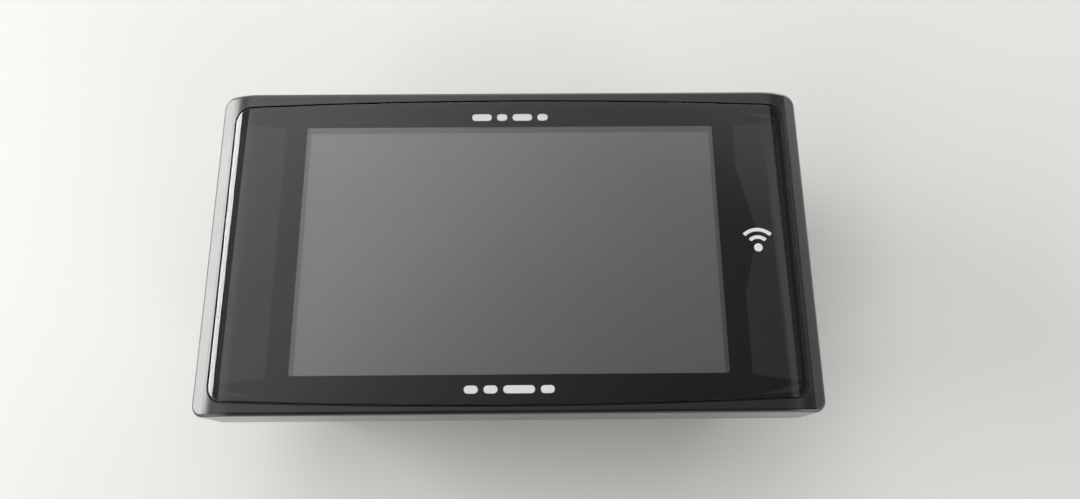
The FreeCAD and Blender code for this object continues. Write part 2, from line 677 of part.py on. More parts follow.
socket = block("socket", ("13.4", "card_breadth + 3", "board_low - card_low + 0.5"), ("39.7", "card_y"),
               "card_low - 0.5")
card_way = block("card_way", ("14", "card_breadth + 0.4", "card_thick + 0.3"), ("40.6", "card_y"),
                 "card_low - 0.15")
sub_part(cut("card_socket", socket, card_way), "card_socket")
card = new_body("card")
edge_x, half = "card_end - card_length", "card_breadth / 2"
outline(sketch_on(card, "card_outline", offset="card_low"),
        [(edge_x, f"card_y - {half} + 1.4"), (f"{edge_x} + 5.5", f"card_y - {half} + 1.4"),
         (f"{edge_x} + 6.8", f"card_y - {half}"), ("card_end", f"card_y - {half}"),
         ("card_end", f"card_y + {half}"), (edge_x, f"card_y + {half}")])
pad(card, card.Group[-1], "card_thick")
sub_part(card, "memory_card")

# Rear housing: a flange that closes the front housing, and the drafted receiver box behind it

rear = new_body("rear_body")
pad(rear, round_cornered(sketch_on(rear, "rear_outline", offset="shell_back"), "rear_width", "rear_height",
                         "rear_corner"), "shell_back", reverse=True, taper="-rear_taper")
round_edges(rear, "rear_back_edge", "rear_edge", on_back("0"))
pad(rear,
    round_cornered(sketch_on(rear, "rear_flange", offset="shell_back"), "case_width - 2 * case_wall - 0.3",
                         "case_height - 2 * case_wall - 0.3", "0.8"), "flange_thick")
pocket(rear, round_cornered(sketch_on(rear, "rear_cavity", offset="shell_back + flange_thick"),
                            "rear_width - 2 * case_wall", "rear_height - 2 * case_wall",
                            "rear_corner - case_wall"),
       "shell_back + flange_thick - case_wall", taper="-rear_taper")

label_seat = sketch_on(rear, "rear_label_seat")
pocket(rear, round_cornered(label_seat, "label_width", "label_height", "1", "label_x", "label_y"), "0.25",
       reverse=True)
grille = sketch_on(rear, "rear_grille")
rings = [(f"speaker_x + {ring} * grille_pitch * cos({360 * k / (6 * ring)})",
          f"speaker_y + {ring} * grille_pitch * sin({360 * k / (6 * ring)})")
         for ring in range(1, 5) for k in range(6 * ring)]
for x, y in [("speaker_x", "speaker_y")] + rings:
    circles(grille, (x, y, "grille_hole"))
pocket(rear, grille, "case_wall + 0.5", reverse=True)
for i in range(-2, 3):
    vent = sketch_on(rear, f"rear_vent_{i + 2}", "YZ_Plane", "rear_width / 2 + 1")
    pocket(rear, round_cornered(vent, "1.4", "8", "0.69", f"{4 * i} + 6", "10"), "5")
for name, y, z, radius in (("dc", "dc_y", "dc_z", "collar"), ("link", "link_y", "link_z", "collar - 0.2")):
    mouth = sketch_on(rear, f"rear_{name}_mouth", "YZ_Plane", "jack_end - 1")
    pocket(rear, circles(mouth, (y, z, f"{radius} + 0.1")), "4", reverse=True)
for name, x, width in (("power", "power_x", "key_width"), ("rocker", "rocker_x", "rocker_width + 0.2"),
                       ("menu", "menu_x", "key_width")):
    mouth = sketch_on(rear, f"rear_{name}_mouth", "XZ_Plane", "-rear_height / 2 - 1")
    pocket(rear,
           round_cornered(mouth, f"{width} + 2 * key_play", "key_tall + 2 * key_play", "1.2", x, "key_z"),
           "5",
           reverse=True)


def rib(name, width, depth, high, x, y):
    """A rib or rest standing on the rear housing's floor."""
    return block(name, (width, depth, f"{high} - case_wall + 0.3"), (x, y), "case_wall - 0.3")


dock_y = "-rear_height / 2 + dock_depth / 2"
additions = [
    block("dock_block", ("dock_wide + 2.4", "dock_depth + 0.4", "dock_top"), ("0", f"{dock_y} + 0.8"),
          "1.5"),
    cut("speaker_ring",
        rod("speaker_ring_outer", "speaker_radius + 1.1", "2.4",
            ("speaker_x", "speaker_y", "case_wall - 0.3")),
        rod("speaker_ring_inner", "speaker_radius + 0.1", "3",
            ("speaker_x", "speaker_y", "case_wall - 0.4"))),
    rib("switch_rib_a", "2.6", "4", "11", "-38.4", "16.4"),
    rib("switch_rib_b", "3", "4", "11", "7.3", "16.4"),
    rib("gps_rib_a", "2", "3", "11", "gps_x - 9.3", "gps_board_low + 0.4"),
    rib("gps_rib_b", "2", "3", "11", "gps_x + 9.3", "gps_board_low + 0.4"),
    rib("jack_rest_a", "3", "3", "jack_board_low", "-36", "-14"),
    rib("jack_rest_b", "3", "3", "jack_board_low", "-36", "8"),
    rib("horn_rest_a", "4", "3.6", "horn_lug", "horn_x", "horn_y - horn_height / 2 - 2"),
    rib("horn_rest_b", "4", "3.6", "horn_lug", "horn_x", "horn_y + horn_height / 2 + 2"),
    rib("antenna_rest", "gps_size", "3", "gps_low", "gps_x", "gps_board_low + 2.4"),
]
for side, z in (("low", "key_z - 3.9"), ("high", "key_z + 2.7")):
    additions.append(block(f"cradle_{side}", ("3.4", "4.4", "1.2"), ("rocker_x", "21.2"), z))
pairs = [(i, j) for i in ("", "-") for j in ("", "-")]
removals = [rod(f"rear_bore_{n}", "case_screw + 0.15", "4", (f"{i}boss_x", f"{j}boss_y", "shell_back - 1"))
            for n, (i, j) in enumerate(pairs)]
removals += [rod(f"rear_sink_{n}", "case_screw_head + 0.15", "1 + screw_sink",
                 (f"{i}boss_x", f"{j}boss_y", "shell_back - 1")) for n, (i, j) in enumerate(pairs)]
removals += [
    block("dock_neck_cut", ("dock_neck", "dock_skin + 1", "dock_top"),
          ("0", "-rear_height / 2 + dock_skin / 2 + 0.3"),
          "-0.01"),
    block("dock_groove_cut", ("dock_wide", "dock_depth - dock_skin - 0.8", "dock_top"),
          ("0", "-rear_height / 2 + dock_depth / 2 + dock_skin / 2 + 0.4"), "-0.01"),
    block("switch_board_way", ("board_end_b - board_end_a + 0.4", "board_thick + 0.1", "12"),
          ("(board_end_a + board_end_b) / 2", "switch_low - board_thick / 2"), "switch_board_low"),
    block("gps_board_way", ("gps_board + 0.2", "0.9", "14"), ("gps_x", "gps_board_low + 0.4"), "gps_low"),
    rod("cradle_bore", "pivot_radius + 0.06", "8.2", ("rocker_x", "pivot_y", "key_z - 4.1")),
    rod("horn_pilot_a", "board_screw + 0.02", "3",
        ("horn_x", "horn_y - horn_height / 2 - 2", "horn_lug - 2.9")),
    rod("horn_pilot_b", "board_screw + 0.02", "3",
        ("horn_x", "horn_y + horn_height / 2 + 2", "horn_lug - 2.9")),
]
sub_part(cut("rear_housing", fuse("rear_joined", rear, *additions), *removals), "rear_housing")
sub_part(screws("rear_screw_set", "boss_x", "boss_y", "shell_back + screw_sink", "case_screw_head",
                "screw_sink - 0.1",
                "case_screw", "6.5"), "rear_screws")
sub_part(slab("label", "0.08", "0.17", "label_width - 0.3", "label_height - 0.3", "0.9", "label_x",
              "label_y"),
         "rear_label")

# Microwave horn, its board, cover, screws and header

lug_y = "horn_height / 2 + 2"
casting = fuse("casting", block("horn_block", ("horn_width", "horn_height", "horn_high - horn_low"),
                                ("horn_x", "horn_y"), "horn_low"),
               block("horn_lugs", ("5", "horn_height + 8", "1.6"), ("horn_x", "horn_y"), "horn_lug"))
funnel = new_body("funnel")
pad(funnel,
    rectangle(sketch_on(funnel, "funnel_mouth", offset="horn_low - 0.01"), "mouth_width", "mouth_height",
                      "horn_x", "horn_y"), "horn_high - horn_low - 2.5", taper="-22")
lug_holes = [rod(f"lug_hole_{n}", "board_screw + 0.15", "4",
                 ("horn_x", f"horn_y {sign} ({lug_y})", "horn_lug - 1"))
             for n, sign in enumerate("+-")]
sub_part(cut("horn", casting, funnel, *lug_holes), "horn_casting")
sub_part(slab("horn_pcb", "horn_high", "1", "horn_width", "horn_height", "0.5", "horn_x", "horn_y"),
         "horn_board")
cover = slab("cover", "horn_high + 1", "3", "20", "14", "0.6", "horn_x - 2", "horn_y - 2")
sub_part(cover, "horn_shield")
sub_part(block("header", ("10", "2.4", "board_low - horn_high - 1"),
               ("horn_x - 4", "horn_y + horn_height / 2 - 2"),
               "horn_high + 1"), "horn_header")
horn_screw = [("0", "horn_lug - 2.5"), ("board_screw", "horn_lug - 2.5"), ("board_screw", "horn_lug + 1.6"),
              ("board_screw_head", "horn_lug + 1.6"), ("board_screw_head", "horn_lug + 2.2"),
              ("board_screw_head * 0.75", "horn_lug + 2.6"), ("0", "horn_lug + 2.6")]
sub_part(group("horn_screw_pair",
               *[turned(f"horn_screw_{n}", horn_screw, "horn_x", f"horn_y {sign} ({lug_y})")
                                    for n, sign in enumerate("+-")]), "horn_screws")

# Speaker, facing the grille


def speaker_piece(name, points, arcs=()):
    return sub_part(turned(f"{name}_body", points, "speaker_x", "speaker_y", arcs), name)


R = "speaker_radius"
speaker_piece("speaker_gasket", [(f"{R} - 1.4", "case_wall"), (R, "case_wall"), (R, "speaker_low"),
                                 (f"{R} - 1.4", "speaker_low")])
speaker_piece("speaker_basket", [(f"{R} - 1.4", "speaker_low"), (R, "speaker_low"), (R, "speaker_low + 1"),
                                 ("8.4", "speaker_low + 5.2"), ("8.4", "speaker_low + 8"),
                                 ("0", "speaker_low + 8"),
                                 ("0", "speaker_low + 7.2"), ("7.6", "speaker_low + 7.2"),
                                 ("7.6", "speaker_low + 4.7"), (f"{R} - 1.4", "speaker_low + 0.8")])
speaker_piece("speaker_surround", [("10.6", "speaker_low + 0.5"), ("12.5", "speaker_low + 0.5"),
                                   ("12.5", "speaker_low + 0.7"), ("10.6", "speaker_low + 0.7")],
              {0: ("1.3", 1), 2: ("1.5", -1)})
speaker_piece("speaker_cone",
              [("0", "speaker_low + 1.6"), ("3.6", "speaker_low + 2.8"), ("10.6", "speaker_low + 0.45"),
                               ("10.6", "speaker_low + 0.75"), ("3.6", "speaker_low + 3.1"),
                               ("0", "speaker_low + 1.9")],
              {0: ("9", 1), 4: ("9.3", -1)})
speaker_piece("voice_coil",
              [("3.3", "speaker_low + 3.1"), ("3.6", "speaker_low + 3.1"), ("3.6", "speaker_low + 5.8"),
                             ("3.3", "speaker_low + 5.8")])
speaker_piece("speaker_magnet",
              [("0", "speaker_low + 4"), ("3", "speaker_low + 4"), ("3", "speaker_low + 6.3"),
                                 ("3.9", "speaker_low + 6.3"), ("3.9", "speaker_low + 4"),
                                 ("7.4", "speaker_low + 4"),
                                 ("7.4", "speaker_low + 7.2"), ("0", "speaker_low + 7.2")])
sub_part(block("plug", ("4.4", "3", "2.6"), ("34.6", "4.5"), "board_low - 2.6"), "speaker_plug")
leads = []
lead_z = "speaker_low + 6.2"
for n, lead_y in enumerate(("4", "5")):
    run = rod(f"lead_run_{n}", "0.35", "34.6 - speaker_x - 8.4", ("speaker_x + 8.4", lead_y, lead_z), "+X")
    rise = rod(f"lead_rise_{n}", "0.35", f"board_low - 2.6 - ({lead_z}) + 0.3",
               ("34.6", lead_y, f"{lead_z} - 0.3"))
    leads.append(fuse(f"lead_{n}", run, rise))
sub_part(group("lead_pair", *leads), "speaker_leads")

# Positioning antenna, standing behind the upper wall

sub_part(block("gps_pcb", ("gps_board", "0.8", "gps_size"), ("gps_x", "gps_board_low + 0.4"), "gps_low"),
         "gps_board")
sub_part(block("gps_ceramic", ("gps_size", "3.6", "gps_size"), ("gps_x", "gps_board_low + 2.6"), "gps_low"),
         "gps_antenna")
sub_part(block("gps_plate", ("gps_size - 3", "0.1", "gps_size - 3"), ("gps_x", "gps_board_low + 4.45"),
               "gps_low + 1.5"), "gps_antenna_plate")
sub_part(block("gps_can", ("gps_size - 2", "1.6", "gps_size - 3"), ("gps_x", "gps_board_low - 0.8"),
               "gps_low + 1.5"),
         "gps_shield")

# Keys on the upper wall, their switches and board

sub_part(block("key_board", ("board_end_b - board_end_a", "board_thick", "11"),
               ("(board_end_a + board_end_b) / 2", "switch_low - board_thick / 2"), "switch_board_low"),
               "switch_board")
SWITCHES = {"power": "power_x", "volume_down": "rocker_x - rocker_arm", "volume_up": "rocker_x + rocker_arm",
            "menu": "menu_x"}
switch_cases = []
for name, x in SWITCHES.items():
    case = block(f"{name}_case", ("4.6", "switch_high - switch_low", "4.6"),
                 (x, "(switch_high + switch_low) / 2"), "key_z - 2.3")
    well = rod(f"{name}_well", "1", "2.2", (x, "switch_high - 2", "key_z"), "+Y")
    switch_cases.append(cut(f"{name}_switch", case, well))
    stem = rod(f"{name}_stem", "0.9", "plunger_high - switch_high + 1.4", (x, "switch_high - 1.4", "key_z"),
               "+Y")
    sub_part(stem, f"{name}_plunger")
sub_part(group("switches", *switch_cases), "switch_cases")


def key(name, x, width, back, skirt_thick):
    """A key cap with its retaining skirt. Its axis is Y; back is the height of the skirt's rear face."""
    body = new_body(f"{name}_body")
    cap = sketch_on(body, f"{name}_cap", "XZ_Plane", f"-({back})")
    pad(body, round_cornered(cap, width, "key_tall", "1", x, "key_z"), f"key_crown - ({back})", reverse=True)
    round_edges(body, f"{name}_soft", "0.4", lambda edge: edge.BoundBox.YMin > number("key_crown") - 0.01)
    skirt = sketch_on(body, f"{name}_skirt", "XZ_Plane", f"-({back})")
    pad(body,
        round_cornered(skirt, f"({width}) + 2 * key_skirt", "key_tall + 2 * key_skirt", "1.2", x, "key_z"),
        skirt_thick, reverse=True)
    return body


sub_part(key("power_button", "power_x", "key_width", "plunger_high", "button_skirt"), "power_button")
sub_part(key("menu_button", "menu_x", "key_width", "plunger_high", "button_skirt"), "menu_button")
rocker = key("volume_rocker", "rocker_x", "rocker_width", "plunger_high + 0.3", "rocker_skirt")
rocker_pin = rod("rocker_pin", "pivot_radius", "7.8", ("rocker_x", "pivot_y", "key_z - 3.9"))
rocker_web = block("rocker_web", ("1.4", "1", "4.8"), ("rocker_x", "pivot_y + 0.4"), "key_z - 2.4")
sub_part(fuse("rocker", rocker, rocker_pin, rocker_web), "volume_rocker")

# Power and link jacks on their board

sub_part(slab("jack_pcb", "jack_board_low", "jack_board_thick", "12.5", "25", "0.5", "-33.2", "-3"),
         "jack_board")


def jack(name, y, z, width, high, collar, bore):
    """A jack with a round collar through the left wall and a bore along X."""
    body = block(f"{name}_box", ("12", width, high), ("jack_face + 6", y),
                 "jack_board_low + jack_board_thick")
    nose = rod(f"{name}_nose", collar, "jack_face - jack_end + 0.5", ("jack_end", y, z), "+X")
    way = rod(f"{name}_way", bore, "10.5", ("jack_end - 0.5", y, z), "+X")
    return cut(f"{name}_jack", fuse(f"{name}_solid", body, nose), way)


sub_part(jack("power_inlet", "dc_y", "dc_z", "9", "9", "collar", "dc_bore"), "power_jack")
sub_part(jack("link", "link_y", "link_z", "6.6", "8", "collar - 0.2", "link_bore"), "link_jack")
pin = turned("inlet_pin",
             [("0", "0"), ("dc_pin", "0"), ("dc_pin", "8.7"), ("dc_pin * 0.6", "9.2"), ("0", "9.2")], "0",
             "0")
pin.Placement = FreeCAD.Placement(Vector(), FreeCAD.Rotation(Vector(0, 1, 0), -90))
sub_part(place(pin, "jack_end + 10", "dc_y", "dc_z"), "power_jack_pin")

# Check every object and write every sub-part

doc.recompute()
for item in doc.Objects:
    if {"Invalid", "Error"} & set(item.State):
        raise RuntimeError(f"{item.Label} did not recompute: {item.State}")
os.makedirs("parts", exist_ok=True)
for name, item in parts.items():
    if item.Shape.isNull() or not item.Shape.isValid():
        raise RuntimeError(f"{name} has no valid shape")
    item.Shape.exportStep(f"parts/{name}.step")
print(len(parts), "sub-parts")
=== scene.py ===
"""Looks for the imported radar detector: materials, printed marks, floor, light and camera.

It lies on its back in the row frame: +X to the display's right, +Y to its upper edge, +Z out of the
display. Lengths are in metres, and MM turns millimetres into them.
"""

import json
import math

import bmesh
import bpy
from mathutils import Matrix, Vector


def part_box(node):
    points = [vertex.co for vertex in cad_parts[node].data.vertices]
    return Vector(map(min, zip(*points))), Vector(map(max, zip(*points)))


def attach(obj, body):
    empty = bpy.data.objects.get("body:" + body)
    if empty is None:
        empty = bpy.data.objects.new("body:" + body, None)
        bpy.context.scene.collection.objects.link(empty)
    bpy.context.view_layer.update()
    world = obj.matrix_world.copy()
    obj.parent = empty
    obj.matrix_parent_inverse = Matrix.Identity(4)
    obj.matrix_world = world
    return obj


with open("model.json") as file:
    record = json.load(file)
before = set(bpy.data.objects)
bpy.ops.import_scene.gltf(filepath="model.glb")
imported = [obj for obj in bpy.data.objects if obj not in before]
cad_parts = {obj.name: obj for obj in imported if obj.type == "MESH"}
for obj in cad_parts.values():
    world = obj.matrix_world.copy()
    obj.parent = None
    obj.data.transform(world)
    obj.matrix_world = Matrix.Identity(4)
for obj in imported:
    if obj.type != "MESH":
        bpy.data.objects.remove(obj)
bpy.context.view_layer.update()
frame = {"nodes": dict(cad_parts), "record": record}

nodes = frame["nodes"]
MM = 0.001

# Shader trees


class Tree:
    """A material's node tree, with short calls for the nodes this scene uses."""

    def __init__(self, name):
        self.material = bpy.data.materials.new(name)
        self.material.use_nodes = True
        self.tree = self.material.node_tree
        self.tree.nodes.clear()
        self.coordinates = self.add("ShaderNodeTexCoord").outputs["Object"]
        self.output = self.add("ShaderNodeOutputMaterial")

    def add(self, kind, **settings):
        node = self.tree.nodes.new(kind)
        for key, value in settings.items():
            setattr(node, key, value)
        return node

    def link(self, source, target):
        self.tree.links.new(source, target)

    def put(self, node, **inputs):
        """Sets each input, named with _ for a space, to a value or to another node's output."""
        for key, value in inputs.items():
            socket = node.inputs[key.replace("_", " ")]
            if isinstance(value, bpy.types.NodeSocket):
                self.link(value, socket)
            else:
                socket.default_value = value
        return node

    def math(self, operation, a, b=0.0, clamp=False):
        node = self.add("ShaderNodeMath", operation=operation, use_clamp=clamp)
        for socket, value in zip(node.inputs, (a, b)):
            if isinstance(value, bpy.types.NodeSocket):
                self.link(value, socket)
            else:
                socket.default_value = value
        return node.outputs[0]

    def noise(self, size, detail=3.0, stretch=(1, 1, 1)):
        """Noise whose features are about that size, in metres, longer along an axis by its stretch."""
        mapping = self.put(self.add("ShaderNodeMapping"), Vector=self.coordinates)
        mapping.inputs["Scale"].default_value = [1 / s for s in stretch]
        return self.put(self.add("ShaderNodeTexNoise"), Vector=mapping.outputs[0], Scale=1 / size,
                        Detail=detail).outputs["Fac"]

    def spread(self, value, low, high, start=0.3, end=0.7):
        """Maps start..end of value to low..high."""
        node = self.put(self.add("ShaderNodeMapRange"), Value=value)
        for key, number in (("From Min", start), ("From Max", end), ("To Min", low), ("To Max", high)):
            node.inputs[key].default_value = number
        return node.outputs[0]

    def blend(self, factor, first, second):
        node = self.add("ShaderNodeMix", data_type="RGBA")
        self.link(factor, node.inputs[0])
        for socket, colour in ((node.inputs[6], first), (node.inputs[7], second)):
            if isinstance(colour, bpy.types.NodeSocket):
                self.link(colour, socket)
            else:
                socket.default_value = (*colour, 1)
        return node.outputs[2]

    def bump(self, height, depth, strength=1.0):
        """A normal from a height map whose full range is depth metres."""
        node = self.put(self.add("ShaderNodeBump"), Height=height, Distance=depth, Strength=strength)
        return node.outputs[0]

    def principled(self, **inputs):
        shader = self.put(self.add("ShaderNodeBsdfPrincipled"), **inputs)
        self.link(shader.outputs[0], self.output.inputs[0])
        return shader


def shade(value):
    return (value, value, value)


def moulded(name, colour, roughness, grain=0.12 * MM, depth=0.004 * MM, coat=0.0, mirror=0.5):
    """Moulded plastic: a fine spark-eroded grain, and slow patches of a little more or less gloss."""
    tree = Tree(name)
    fine = tree.noise(grain, 4)
    patches = tree.noise(9 * MM, 3)
    tint = tree.blend(patches, [c * 0.8 for c in colour], [c * 1.2 for c in colour])
    tree.principled(Base_Color=tint, Roughness=tree.spread(patches, roughness * 0.88, roughness * 1.12),
                    Normal=tree.bump(fine, depth), Coat_Weight=coat, Coat_Roughness=roughness,
                    Specular_IOR_Level=mirror)
    return tree.material


def metal(name, colour, roughness, stretch=(12, 1, 1), grain=0.25 * MM):
    """Rolled or plated metal with a faint directional grain."""
    tree = Tree(name)
    lines = tree.noise(grain, 3, stretch)
    tint = tree.blend(lines, [c * 0.85 for c in colour], colour)
    tree.principled(Base_Color=tint, Metallic=1.0, Normal=tree.bump(lines, 0.003 * MM),
                    Roughness=tree.spread(lines, roughness * 0.8, roughness * 1.25))
    return tree.material


def window_material():
    """Faintly grey acrylic: its outer faces mirror by Fresnel's law, and everything else passes straight
    through, but its upright edges are painted near black, as painted shade that darkens the gap round it."""
    tree = Tree("smoked_acrylic")
    smears = tree.noise(14 * MM, 5, (1.6, 1, 1))
    facing = tree.math("SUBTRACT", 1.0, tree.add("ShaderNodeNewGeometry").outputs["Backfacing"])
    mirror = tree.math("MULTIPLY", tree.put(tree.add("ShaderNodeFresnel"), IOR=1.49).outputs[0], facing)
    clear = tree.put(tree.add("ShaderNodeBsdfTransparent"), Color=(0.9, 0.9, 0.9, 1))
    gloss = tree.put(tree.add("ShaderNodeBsdfGlossy"), Color=(1, 1, 1, 1),
                     Roughness=tree.spread(smears, 0.02, 0.05))
    face = tree.add("ShaderNodeMixShader")
    tree.link(mirror, face.inputs[0])
    tree.link(clear.outputs[0], face.inputs[1])
    tree.link(gloss.outputs[0], face.inputs[2])
    # Painted shade: faces whose normal is nearly level are shaded near black, so the gap round the window
    # looks dark.
    upright = tree.add("ShaderNodeSeparateXYZ")
    tree.link(tree.add("ShaderNodeTexCoord").outputs["Normal"], upright.inputs[0])
    gap_shade_edge = tree.math("LESS_THAN", tree.math("ABSOLUTE", upright.outputs["Z"]), 0.3)
    painted_gap_shade = tree.put(tree.add("ShaderNodeBsdfDiffuse"), Color=(0.004, 0.004, 0.004, 1))
    mix = tree.add("ShaderNodeMixShader")
    tree.link(gap_shade_edge, mix.inputs[0])
    tree.link(face.outputs[0], mix.inputs[1])
    tree.link(painted_gap_shade.outputs[0], mix.inputs[2])
    tree.link(mix.outputs[0], tree.output.inputs[0])
    return tree.material


def display_material():
    """The unlit display: an anti-glare film over grey glass, with slow unevenness."""
    tree = Tree("display_film")
    slow = tree.noise(20 * MM, 3)
    tint = tree.blend(slow, (0.065, 0.063, 0.058), (0.069, 0.067, 0.061))
    tree.principled(Base_Color=tint, Roughness=tree.spread(slow, 0.278, 0.292), Specular_IOR_Level=1.0,
                    Coat_Weight=1.0, Coat_Roughness=0.28)
    return tree.material


def border_material():
    """The margin of the display: the same film over dark unswitched glass."""
    tree = Tree("display_margin")
    slow = tree.noise(20 * MM, 3)
    tint = tree.blend(slow, shade(0.024), shade(0.026))
    tree.principled(Base_Color=tint, Roughness=0.28, Specular_IOR_Level=0.6, Coat_Weight=1.0,
                    Coat_Roughness=0.28)
    return tree.material


def board_material():
    """Green solder mask over copper traces."""
    tree = Tree("solder_mask")
    traces = tree.noise(1.6 * MM, 1, (8, 1, 1))
    lines = tree.spread(traces, 0, 1, 0.49, 0.51)
    tint = tree.blend(lines, (0.008, 0.07, 0.025), (0.014, 0.12, 0.045))
    tree.principled(Base_Color=tint, Roughness=0.3, Normal=tree.bump(lines, 0.03 * MM), Coat_Weight=0.5)
    return tree.material


def print_material(name, colour, roughness, mirror=0.5):
    """Screen-printed ink: slightly uneven, with a fine orange-peel surface."""
    tree = Tree(name)
    uneven = tree.noise(0.4 * MM, 3)
    tint = tree.blend(uneven, [c * 0.9 for c in colour], colour)
    tree.principled(Base_Color=tint, Roughness=roughness, Normal=tree.bump(uneven, 0.002 * MM),
                    Specular_IOR_Level=mirror)
    return tree.material


materials = {
    "black_case": moulded("satin_black_case", shade(0.008), 0.24, 0.16 * MM, 0.002 * MM, coat=0.6,
                          mirror=0.2),
    "rear_case": moulded("eroded_black_case", shade(0.020), 0.46, 0.22 * MM, 0.012 * MM),
    "smoked_window": window_material(),
    "black_print": print_material("black_ink", shade(0.0008), 0.5, mirror=0.0),
    "adhesive": moulded("black_adhesive", shade(0.02), 0.8, 0.3 * MM, 0.02 * MM),
    "foam": moulded("black_foam", shade(0.035), 0.9, 0.4 * MM, 0.06 * MM),
    "sheet_steel": metal("display_frame_steel", (0.30, 0.30, 0.31), 0.38),
    "lcd_face": display_material(),
    "lcd_cell": moulded("display_glass", (0.10, 0.11, 0.11), 0.08, 0.5 * MM, 0.001 * MM, 0.5),
    "lcd_white": moulded("white_tray", shade(0.72), 0.5),
    "light_guide": moulded("light_guide_acrylic", (0.62, 0.66, 0.68), 0.12, 0.5 * MM, 0.004 * MM),
    "mirror_film": metal("reflector_film", shade(0.85), 0.08, (1, 1, 1)),
    "flex": moulded("amber_ribbon", (0.42, 0.17, 0.03), 0.3, 0.5 * MM, 0.004 * MM),
    "circuit_board": board_material(),
    "chip": moulded("moulded_epoxy", shade(0.018), 0.55, 0.1 * MM, 0.006 * MM),
    "tinned_steel": metal("tinned_can", (0.62, 0.61, 0.58), 0.26),
    "connector": moulded("cream_nylon", (0.62, 0.58, 0.48), 0.5),
    "battery_steel": metal("nickel_cell", (0.64, 0.62, 0.58), 0.22),
    "can_aluminium": metal("capacitor_can", (0.72, 0.72, 0.74), 0.3, (1, 1, 8)),
    "ferrite": moulded("dark_ferrite", shade(0.045), 0.65, 0.2 * MM, 0.02 * MM),
    "screw_steel": metal("black_zinc", (0.09, 0.09, 0.10), 0.3, (1, 1, 1)),
    "horn_alloy": metal("cast_zinc", (0.50, 0.51, 0.53), 0.45, (1, 1, 1), 0.6 * MM),
    "paper": moulded("treated_paper", shade(0.03), 0.85, 0.5 * MM, 0.05 * MM),
    "copper": metal("enamelled_copper", (0.75, 0.33, 0.12), 0.25, (1, 1, 0.2)),
    "ceramic": moulded("tan_ceramic", (0.48, 0.40, 0.27), 0.6, 0.3 * MM, 0.01 * MM),
    "silver_plate": metal("fired_silver", (0.82, 0.81, 0.78), 0.35, (1, 1, 1)),
    "key_plastic": moulded("key_cap_black", shade(0.022), 0.3, 0.14 * MM, 0.003 * MM),
    "plunger": moulded("red_plunger", (0.35, 0.02, 0.015), 0.45),
    "card_plastic": moulded("card_black", shade(0.014), 0.42, 0.1 * MM, 0.004 * MM),
    "label_paper": print_material("silver_label", (0.36, 0.365, 0.37), 0.35),
    "jack_plastic": moulded("black_nylon", shade(0.012), 0.35, 0.2 * MM, 0.004 * MM),
    "pin_metal": metal("nickel_pin", (0.75, 0.72, 0.66), 0.16, (8, 1, 1)),
    "wire": moulded("red_wire", (0.42, 0.02, 0.015), 0.4),
}

slot_of = {entry["node"]: entry["material_slot"] for entry in frame["record"]["subparts"]}


def even_normals(piece):
    """Lets a CAD node's broad flat faces set the shading normals along their edges."""
    piece.modifiers.new("weld", "WELD").merge_threshold = 0.001 * MM
    even = piece.modifiers.new("even_normals", "WEIGHTED_NORMAL")
    even.keep_sharp = True
    even.weight = 100


for name, piece in nodes.items():
    piece.data.materials.clear()
    piece.data.materials.append(materials[slot_of[name]])

for name in ("front_window", "window_mask_film"):
    even_normals(nodes[name])

# The layers round the display would otherwise blur its edges with their shadow and their reflection.
for name in ("window_mask_film", "window_tape", "lcd_foam_gasket", "lcd_metal_frame"):
    nodes[name].visible_shadow = False
    nodes[name].visible_diffuse = False
    nodes[name].visible_glossy = False

# Printed marks behind the window, and moulded marks on the keys


def new_piece(name, mesh_builder, material, body):
    """Makes a piece from a function that fills a bmesh, and rides it on a body."""
    shape = bmesh.new()
    mesh_builder(shape)
    bmesh.ops.recalc_face_normals(shape, faces=shape.faces)
    mesh = bpy.data.meshes.new(name)
    shape.to_mesh(mesh)
    shape.free()
    piece = bpy.data.objects.new(name, mesh)
    bpy.context.scene.collection.objects.link(piece)
    piece.data.materials.append(material)
    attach(piece, body)
    return piece


def plate(shape, outline, low, high, place=lambda point: point):
    """A flat plate with that (x, y) outline between two heights, carried by place to where it belongs."""
    lower = [shape.verts.new(place(Vector((x, y, low)))) for x, y in outline]
    upper = [shape.verts.new(place(Vector((x, y, high)))) for x, y in outline]
    shape.faces.new(lower[::-1])
    shape.faces.new(upper)
    for i in range(len(outline)):
        j = (i + 1) % len(outline)
        shape.faces.new((lower[i], lower[j], upper[j], upper[i]))


def turn(centre, radius, start, end, steps=12):
    """Points along an arc, with angles in degrees."""
    angles = [math.radians(start + (end - start) * i / steps) for i in range(steps + 1)]
    return [(centre[0] + radius * math.cos(a), centre[1] + radius * math.sin(a)) for a in angles]


def round_bar(centre, width, height):
    """Outline of a bar with round ends."""
    r, reach = height / 2, width / 2 - height / 2
    right_end = turn((centre[0] + reach, centre[1]), r, -90, 90)
    return right_end + turn((centre[0] - reach, centre[1]), r, 90, 270)


def ring_sector(centre, inner, outer, start, end):
    """Outline of part of a ring."""
    return turn(centre, outer, start, end, 20) + turn(centre, inner, end, start, 20)


white_ink = print_material("white_ink", (0.72, 0.72, 0.71), 0.5, mirror=0.0)
film_low, film_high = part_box("window_mask_film")
view_low, view_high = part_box("lcd_polariser")
INK = 0.03 * MM
BAR = 1.25 * MM
# The display's active area reaches the lower edge of the film's opening, and leaves a margin elsewhere.
ACTIVE = Vector((69.0 * MM, 42.15 * MM, 0))
ACTIVE_DROP = Vector((0, 0.27 * MM, 0))
active_centre = (view_low + view_high) / 2 - ACTIVE_DROP
# The rows of bars lie midway between the film's edge and the display.
DISPLAY_REACH = 21.2 * MM
band_top = (film_high.y + DISPLAY_REACH) / 2
band_bottom = (film_low.y - DISPLAY_REACH) / 2
SIGN_INSET, SIGN_DROP = 5.7 * MM, 0.45 * MM


def bar_row(y, widths, gap):
    """A function that builds a centred row of round-ended bars."""
    def build(shape):
        x = -(sum(widths) + gap * (len(widths) - 1)) / 2
        for width in widths:
            plate(shape, round_bar((x + width / 2, y), width, BAR), film_high.z, film_high.z + INK)
            x += width + gap
    return build


